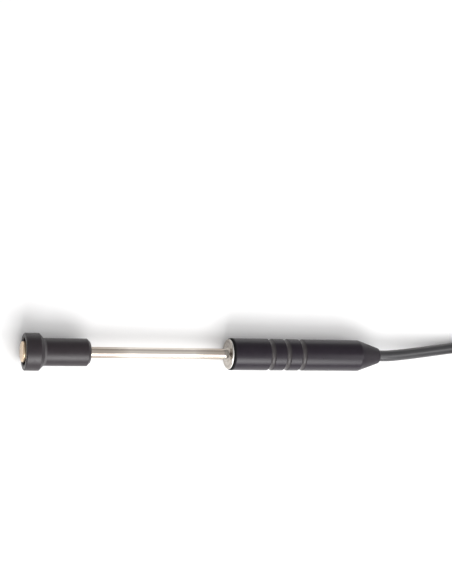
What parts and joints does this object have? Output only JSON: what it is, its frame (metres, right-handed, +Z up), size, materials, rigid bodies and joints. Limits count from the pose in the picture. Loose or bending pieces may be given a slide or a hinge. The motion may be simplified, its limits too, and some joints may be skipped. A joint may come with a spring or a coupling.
{
  "type": "contact temperature probe",
  "caption": "Hand-held contact temperature probe: a sprung copper contact in a black head, a slim steel tube, a grooved tapered handle and a cable tied in a hank with a flat plug.",
  "frame": {"origin": "on the floor, under the middle of the probe without its cable", "axes": "+X along the probe from the head to the cable's exit, +Y across, +Z up from the floor"},
  "size_m": [0.2679, 0.036, 0.016],
  "materials": {
    "head_plastic": "fine-grained black",
    "sleeve_plastic": "satin black",
    "copper": "polished copper",
    "carrier_plastic": "heat-proof tan plastic",
    "sensor_resin": "dipped resin",
    "spring_steel": "drawn wire",
    "tube_steel": "drawn, bright",
    "ferrule_brass": "machined",
    "nose_metal": "turned, bright",
    "seal_rubber": "moulded",
    "lead_insulation": "wire insulation",
    "splice_metal": "tinned",
    "shrink_plastic": "shrunk sleeve",
    "core_green": "wire insulation",
    "core_white": "wire insulation",
    "clamp_metal": "crimped",
    "cable_jacket": "smooth black",
    "tie_fabric": "woven black",
    "boot_rubber": "matte black",
    "plug_plastic": "fine-grained black",
    "blade_metal": "plain",
    "screw_steel": "zinc plated"
  },
  "bodies": {
    "probe": {"head_housing": "head_plastic", "stop_ring": "spring_steel", "contact_spring": "spring_steel", "probe_tube": "tube_steel", "tube_ferrule": "ferrule_brass", "handle_nose": "nose_metal", "nose_seal": "seal_rubber", "handle_sleeve": "sleeve_plastic", "lead_wire_left": "lead_insulation", "lead_wire_right": "lead_insulation", "splice_left": "splice_metal", "splice_right": "splice_metal", "shrink_sleeve_left": "shrink_plastic", "shrink_sleeve_right": "shrink_plastic", "cable_core_left": "core_green", "cable_core_right": "core_white", "cable_clamp": "clamp_metal", "cable_lead": "cable_jacket", "cable_hank": "cable_jacket", "hank_tie": "tie_fabric", "plug_boot": "boot_rubber", "plug_base": "plug_plastic", "plug_cover": "plug_plastic", "plug_core_left": "core_green", "plug_core_right": "core_white", "plug_blade_wide": "blade_metal", "plug_blade_narrow": "blade_metal", "plug_screw_left": "screw_steel", "plug_screw_right": "screw_steel"},
    "contact": {"contact_disc": "copper", "contact_carrier": "carrier_plastic", "sensor_element": "sensor_resin"}
  },
  "joints": [
    {"name": "contact_press", "type": "slide", "parent": "probe", "child": "contact", "axis": [1, 0, -0.0057], "range_m": [0, 0.0008], "stiffness_N_per_m": 500, "springref_m": -0.002, "deforming": ["contact_spring"]}
  ]
}
